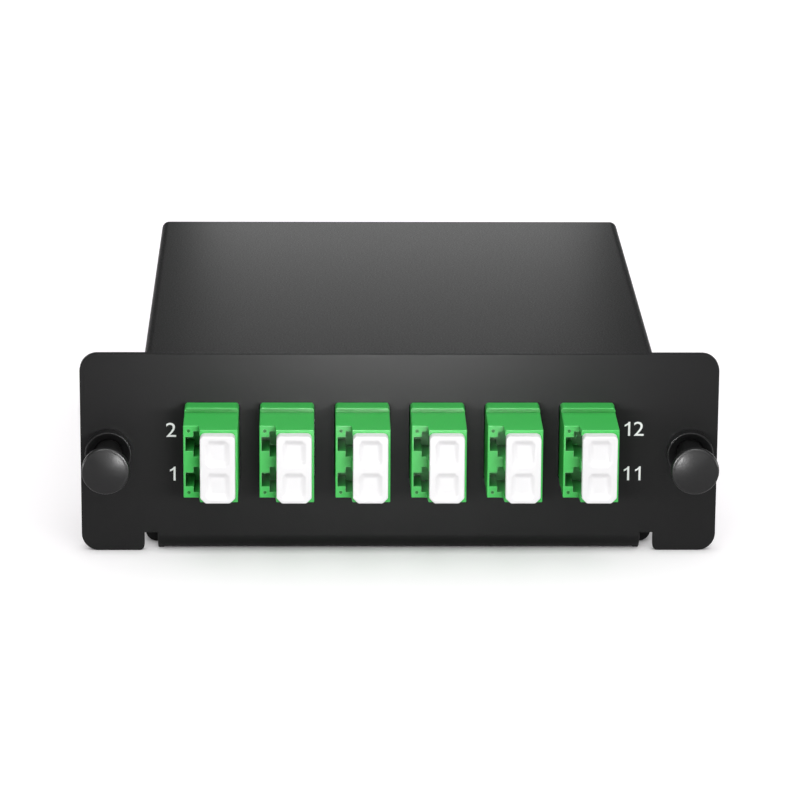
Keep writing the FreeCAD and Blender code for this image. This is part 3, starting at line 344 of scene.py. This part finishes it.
def carved(form, tool):
    """The form with the closed shapes of the tool cut out of it."""
    holders = []
    for shape in (form, tool):
        mesh = bpy.data.meshes.new("shape")
        shape.to_mesh(mesh)
        shape.free()
        holder = bpy.data.objects.new("shape", mesh)
        bpy.context.scene.collection.objects.link(holder)
        holders.append(holder)
    cut = holders[0].modifiers.new("cut", "BOOLEAN")
    cut.operation, cut.object, cut.solver = "DIFFERENCE", holders[1], "EXACT"
    bpy.context.view_layer.update()
    mesh = bpy.data.meshes.new_from_object(holders[0].evaluated_get(bpy.context.evaluated_depsgraph_get()))
    for holder in holders:
        bpy.data.objects.remove(holder)
    result = bmesh.new()
    result.from_mesh(mesh)
    join_flats(result)
    return result


def dimpled(form):
    """An adapter with a small round dimple above and below the latch slots, on the set-back face."""
    left = min(v.co.x for v in form.verts)
    front = min(v.co.y for v in form.verts)
    low, high = min(v.co.z for v in form.verts), max(v.co.z for v in form.verts)
    middle = (low + high) / 2
    tool = bmesh.new()
    for sign in (-1, 1):
        spot = (left + DIMPLE_FROM_SIDE, front + LATCH_SETBACK,
                middle + sign * (BODY_TALL / 2 - DIMPLE_FROM_END))
        turned = Matrix.Translation(spot) @ Matrix.Rotation(math.pi / 2, 4, "X")
        bmesh.ops.create_cone(tool, cap_ends=True, segments=DIMPLE_SIDES, radius1=DIMPLE_WIDE / 2,
                              radius2=DIMPLE_WIDE / 2, depth=2 * DIMPLE_DEPTH, matrix=turned)
    return carved(form, tool)


DISH_STEPS = 8
DISH_SLOPE = 1.0 * MM
DISH_DEPTH = 0.44 * MM
DISH_NEAREST = 0.1 * MM
DISH_FARTHEST = 1.0 * MM


def soft_dished(form):
    """A dust cap whose two dishes sink in a soft slope instead of a straight wall.

    The solid's straight dishes lie a little behind its front face. They are cut out, closed and sunk again.
    """
    front = min(v.co.y for v in form.verts)
    floors = [f for f in form.faces if f.normal.y < -0.99
              and DISH_NEAREST < f.calc_center_median().y - front < DISH_FARTHEST]
    walls = {g for f in floors for e in f.edges for g in e.link_faces} - set(floors)
    bmesh.ops.delete(form, geom=floors + list(walls), context="FACES")
    rims = [e for e in form.edges if e.is_boundary]
    dishes = bmesh.ops.holes_fill(form, edges=rims, sides=0)["faces"]
    bmesh.ops.recalc_face_normals(form, faces=form.faces)
    for step in range(DISH_STEPS):
        along, before = (step + 1) / DISH_STEPS, step / DISH_STEPS
        drop = DISH_DEPTH * (math.sin(math.pi / 2 * along) - math.sin(math.pi / 2 * before))
        bmesh.ops.inset_individual(form, faces=dishes, thickness=DISH_SLOPE / DISH_STEPS, depth=-drop,
                                   use_even_offset=True)
    return form


for n in ADAPTERS:
    eased("lc_adapter_%d" % n, "duplex_adapter_%d" % n, "cassette", "adapter_green", ADAPTER_GREEN, 0.15 * MM,
          segments=3, worked=dimpled, picked=outer_edges)
    eased("dust_cap_%d" % n, "duplex_cap_%d" % n, "cap_%d" % n, "cap_white", CAP_WHITE, 0.22 * MM, segments=3,
          worked=soft_dished)
eased("mpo_adapter", "rear_adapter", "cassette", "adapter_green", ADAPTER_GREEN, 0.14 * MM)
eased("mpo_dust_cap", "rear_cap_moulding", "rear_cap", "cap_white", CAP_WHITE, 0.25 * MM, segments=3)
eased("mpo_adapter_screws", "rear_adapter_screw_set", "cassette", "black_steel", BLACK_STEEL, 0.12 * MM)


# Latches

HEAD_CROWN = 0.62 * MM
HEAD_DOME = 1.0 * MM
HEAD_THICK = 1.8 * MM
SHOULDER = 0.45 * MM
STEM_RADIUS = 2.3 * MM
BACK_ROUND = 0.12 * MM
DOME_STEPS = 14


def make_latch(side):
    """A turned plunger with a domed head, and the grommet's collar and split shank."""
    grommet = "latch_grommet_" + side
    plunger = "latch_plunger_" + side
    eased(grommet, "latch_collar_" + side, "cassette", "latch_black", LATCH_BLACK, 0.1 * MM)
    low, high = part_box(plunger)
    middle = (low + high) / 2
    head, rear = low.y, high.y
    radius = (high.x - low.x) / 2
    edge, back = radius - SHOULDER, head + HEAD_THICK
    dome = [(edge * step / DOME_STEPS, head + HEAD_CROWN * (step / DOME_STEPS) ** 2)
            for step in range(DOME_STEPS + 1)]
    turns = [math.pi / 2 * step / DOME_STEPS for step in range(1, DOME_STEPS + 1)]
    dome += [(edge + SHOULDER * math.sin(turn),
              head + HEAD_CROWN + (HEAD_DOME - HEAD_CROWN) * (1 - math.cos(turn))) for turn in turns]
    profile = dome + rounded([dome[-1], (radius, back), (STEM_RADIUS, back), (STEM_RADIUS, rear), (0.0, rear)],
                             BACK_ROUND)[1:]
    piece = spun("latch_knob_" + side, "latch_" + side, "latch_black", LATCH_BLACK,
                 (middle.x, 0.0, middle.z), profile)
    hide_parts(plunger)


for side in SIDES:
    make_latch(side)

# Port numerals, printed on the panel

# Each figure has its left edge and its middle height on the panel, in millimetres, as its outline has
ONE, TWO = "1", "2"
NUMERALS = {"port_numeral_2": [(TWO, -39.85, 4.11)], "port_numeral_1": [(ONE, -39.26, -3.7)],
            "port_numeral_12": [(ONE, 38.5, 4.32), (TWO, 40.08, 4.32)],
            "port_numeral_11": [(ONE, 38.5, -3.65), (ONE, 40.45, -3.65)]}
NUMERAL_TALL = 2.5
TWO_WIDE = 1.7
PRINT_THICK = 0.02
ONE_OUTLINE = [(0.96, 0), (0.96, 2.5), (0.7, 2.5), (0.52, 2.26), (0.29, 2.08), (0, 1.94), (0, 1.62), (0.33, 1.77),
               (0.6, 1.98), (0.6, 0)]


def draw_one():
    """The outline of a 1 with its flag, as one flat face."""
    form = bmesh.new()
    form.faces.new([form.verts.new((across, up - NUMERAL_TALL / 2, 0)) for across, up in ONE_OUTLINE])
    return form


def draw_two():
    """A plain 2, taken from the built-in typeface and fitted to its width and height."""
    curve = bpy.data.curves.new("figure", "FONT")
    curve.body = TWO
    holder = bpy.data.objects.new("figure", curve)
    bpy.context.scene.collection.objects.link(holder)
    bpy.context.view_layer.update()
    flat = bpy.data.meshes.new_from_object(holder.evaluated_get(bpy.context.evaluated_depsgraph_get()))
    bpy.data.objects.remove(holder)
    form = bmesh.new()
    form.from_mesh(flat)
    bmesh.ops.remove_doubles(form, verts=form.verts, dist=1e-6)
    xs = [v.co.x for v in form.verts]
    ys = [v.co.y for v in form.verts]
    across, tall = max(xs) - min(xs), max(ys) - min(ys)
    bmesh.ops.translate(form, verts=form.verts, vec=(-min(xs), -(min(ys) + max(ys)) / 2, 0))
    bmesh.ops.scale(form, verts=form.verts, vec=(TWO_WIDE / across, NUMERAL_TALL / tall, 1))
    return form


def make_numeral(name, figures):
    """The figures of one port number, printed on the panel's face."""
    whole = bmesh.new()
    for figure, left, level in figures:
        form = draw_one() if figure == ONE else draw_two()
        bmesh.ops.rotate(form, verts=form.verts, matrix=Matrix.Rotation(math.pi / 2, 3, "X"))
        grown = bmesh.ops.extrude_face_region(form, geom=form.faces)["geom"]
        bmesh.ops.translate(form, verts=[v for v in grown if isinstance(v, bmesh.types.BMVert)],
                            vec=(0, -PRINT_THICK, 0))
        bmesh.ops.recalc_face_normals(form, faces=form.faces)
        bmesh.ops.scale(form, verts=form.verts, vec=(MM, MM, MM))
        bmesh.ops.translate(form, verts=form.verts, vec=(left * MM, PANEL_FACE, level * MM))
        part = bpy.data.meshes.new("figure")
        form.to_mesh(part)
        form.free()
        whole.from_mesh(part)
    put(whole, name, "cassette", None, PORT_PRINT)


for name, figures in NUMERALS.items():
    make_numeral(name, figures)

# Finishes of the solids, both of those that stay and of those that are dressed

FINISHES = {"base_tray": POWDER_COAT, "top_cover": POWDER_COAT, "cover_screws": BLACK_STEEL,
            "mpo_adapter": ADAPTER_GREEN, "mpo_dust_cap": CAP_WHITE, "mpo_adapter_screws": BLACK_STEEL,
            "mpo_plug": PLUG_GREEN, "mpo_plug_boot": BOOT_WHITE, "plug_boots": BOOT_WHITE, "ferrules": CERAMIC,
            "alignment_sleeves": CERAMIC, "fan_out_block": MOULDING_GREY, "ribbon_clips": MOULDING_GREY,
            "fibre_ribbon": LEAD_YELLOW}
FINISHES.update({"lc_adapter_%d" % n: ADAPTER_GREEN for n in ADAPTERS})
FINISHES.update({"dust_cap_%d" % n: CAP_WHITE for n in ADAPTERS})
FINISHES.update({"adapter_clip_%d" % n: SPRING_STEEL for n in ADAPTERS})
FINISHES.update({"lc_plug_%d" % n: PLUG_GREEN for n in PLUGS})
FINISHES.update({"fibre_lead_%d" % n: LEAD_YELLOW for n in PLUGS})
FINISHES.update({"latch_%s_%s" % (part, side): LATCH_BLACK for part in ("grommet", "plunger") for side in SIDES})
for node, material in FINISHES.items():
    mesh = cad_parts[node].data
    mesh.materials.clear()
    mesh.materials.append(material)


# Floor, lamps and camera

FLOOR_REACH = 3.0
FLOOR_GLOW = 0.54
CONTACT_REACH = 3.0 * MM
SHADOW_REACH = 30.0 * MM
SHADOW_DEPTH = 0.13
SHADOW_SAMPLES = 16
WORLD_LEVEL = 0.12
CAMERA_SPOT = (-0.015117, -0.697681, 0.210534)
CAMERA_TURN = (16.109, -1.2475, 0.3705)
CAMERA_LENS = 191.264


def make_floor():
    """A wide pale floor that shows white to the camera. Its matt part keeps the cassette's real shadow, and its
    glow is darkened near the cassette by a painted contact shadow.
    """
    form = bmesh.new()
    bmesh.ops.create_grid(form, x_segments=1, y_segments=1, size=FLOOR_REACH)
    bmesh.ops.translate(form, verts=form.verts, vec=(0, 0, FLOOR_LEVEL))
    mesh = bpy.data.meshes.new("studio_floor")
    form.to_mesh(mesh)
    form.free()
    floor = bpy.data.objects.new("studio_floor", mesh)
    bpy.context.scene.collection.objects.link(floor)
    material = bpy.data.materials.new("floor_white")
    material.use_nodes = True
    tree = material.node_tree
    tree.nodes.clear()
    # Painted contact shadow: ambient occlusion darkens the floor's glow near and under the cassette.
    near = add(tree, "AmbientOcclusion", {"Distance": CONTACT_REACH}, samples=SHADOW_SAMPLES)
    wide = add(tree, "AmbientOcclusion", {"Distance": SHADOW_REACH}, samples=SHADOW_SAMPLES)
    faint = add(tree, "Math", {0: wide.outputs["AO"], 1: SHADOW_DEPTH}, operation="POWER")
    contact = add(tree, "Math", {0: near.outputs["AO"], 1: faint.outputs[0]}, operation="MULTIPLY")
    matt = add(tree, "BsdfDiffuse", {"Color": (0.67, 0.645, 0.665, 1)})
    shadowed_glow = add(tree, "Math", {0: contact.outputs[0], 1: FLOOR_GLOW}, operation="MULTIPLY")
    glow = add(tree, "Emission", {"Color": (1, 1, 1, 1), "Strength": shadowed_glow.outputs[0]})
    rays = add(tree, "LightPath")
    either = add(tree, "Math", {0: rays.outputs["Is Camera Ray"], 1: rays.outputs["Is Transmission Ray"]},
                 operation="MAXIMUM")
    seen = add(tree, "Math", {0: either.outputs[0], 1: rays.outputs["Is Glossy Ray"]}, operation="MAXIMUM")
    dark = add(tree, "Emission", {"Color": (0, 0, 0, 1), "Strength": 0.0})
    shown = add(tree, "MixShader", {0: seen.outputs[0], 1: dark.outputs[0], 2: glow.outputs[0]})
    both = add(tree, "AddShader", {0: matt.outputs[0], 1: shown.outputs[0]})
    add(tree, "OutputMaterial", {"Surface": both.outputs[0]})
    mesh.materials.append(material)


def make_world():
    """An even, weak white all around."""
    world = bpy.data.worlds.new("studio")
    bpy.context.scene.world = world
    world.use_nodes = True
    back = world.node_tree.nodes["Background"]
    back.inputs["Color"].default_value = (1, 1, 1, 1)
    back.inputs["Strength"].default_value = WORLD_LEVEL


def make_sun(name, azimuth, elevation, strength, spread):
    """A wide, soft light from far away. Azimuth 0 comes from the front and 90 from the right."""
    sun = bpy.data.lights.new(name, "SUN")
    sun.energy, sun.angle = strength, math.radians(spread)
    holder = bpy.data.objects.new(name, sun)
    bpy.context.scene.collection.objects.link(holder)
    holder.rotation_euler = (math.radians(90 - elevation), 0, math.radians(azimuth))


def make_sheen_lamp(name, spot, target, wide, tall, power):
    """A small panel of light close by that shows only as a soft sheen on glossy surfaces."""
    lamp = bpy.data.lights.new(name, "AREA")
    lamp.shape = "RECTANGLE"
    lamp.size, lamp.size_y = wide, tall
    lamp.energy = power
    holder = bpy.data.objects.new(name, lamp)
    bpy.context.scene.collection.objects.link(holder)
    holder.location = spot
    holder.rotation_mode = "QUATERNION"
    holder.rotation_quaternion = (Vector(target) - Vector(spot)).to_track_quat("-Z", "Y")
    holder.visible_camera = False
    holder.visible_diffuse = False


def make_camera():
    """The camera at the photo's place: 16 degrees above the horizon, almost straight in front."""
    pitch, yaw, roll = (math.radians(angle) for angle in CAMERA_TURN)
    ahead = Vector((-math.sin(yaw) * math.cos(pitch), math.cos(yaw) * math.cos(pitch), -math.sin(pitch)))
    level = Vector((math.cos(yaw), math.sin(yaw), 0.0))
    up = level.cross(ahead)
    right = level * math.cos(roll) + up * math.sin(roll)
    above = up * math.cos(roll) - level * math.sin(roll)
    data = bpy.data.cameras.new("studio_camera")
    data.lens = CAMERA_LENS
    data.clip_start, data.clip_end = 0.01, 20.0
    camera = bpy.data.objects.new("studio_camera", data)
    bpy.context.scene.collection.objects.link(camera)
    turned = Matrix((right, above, -ahead)).transposed()
    camera.matrix_world = Matrix.Translation(CAMERA_SPOT) @ turned.to_4x4()
    bpy.context.scene.camera = camera


make_floor()
make_world()
make_sun("front_sun", 6, 35, 2.6, 70)
make_sun("top_sun", 160, 72, 0.94, 90)
make_sheen_lamp("cover_sheen", (0.003, 0.18, 0.04), (0.001, 0.09, 0.016), 0.085, 0.02, 0.0165)
make_sheen_lamp("panel_sheen", (0.0, -0.08, 0.0125), (0, 0, 0.006), 0.05, 0.008, 0.2)
make_sheen_lamp("left_sheen", (-0.4, -0.12, 0.02), (0, -0.02, 0), 0.12, 0.06, 1.5)
make_sheen_lamp("right_sheen", (0.4, -0.12, 0.02), (0, -0.02, 0), 0.12, 0.06, 1.5)
make_sheen_lamp("front_sheen", (0.0, -0.22, 0.4), (0, -0.01, 0), 0.5, 0.08, 2.8)
make_camera()
bpy.context.scene.view_settings.view_transform = "Standard"
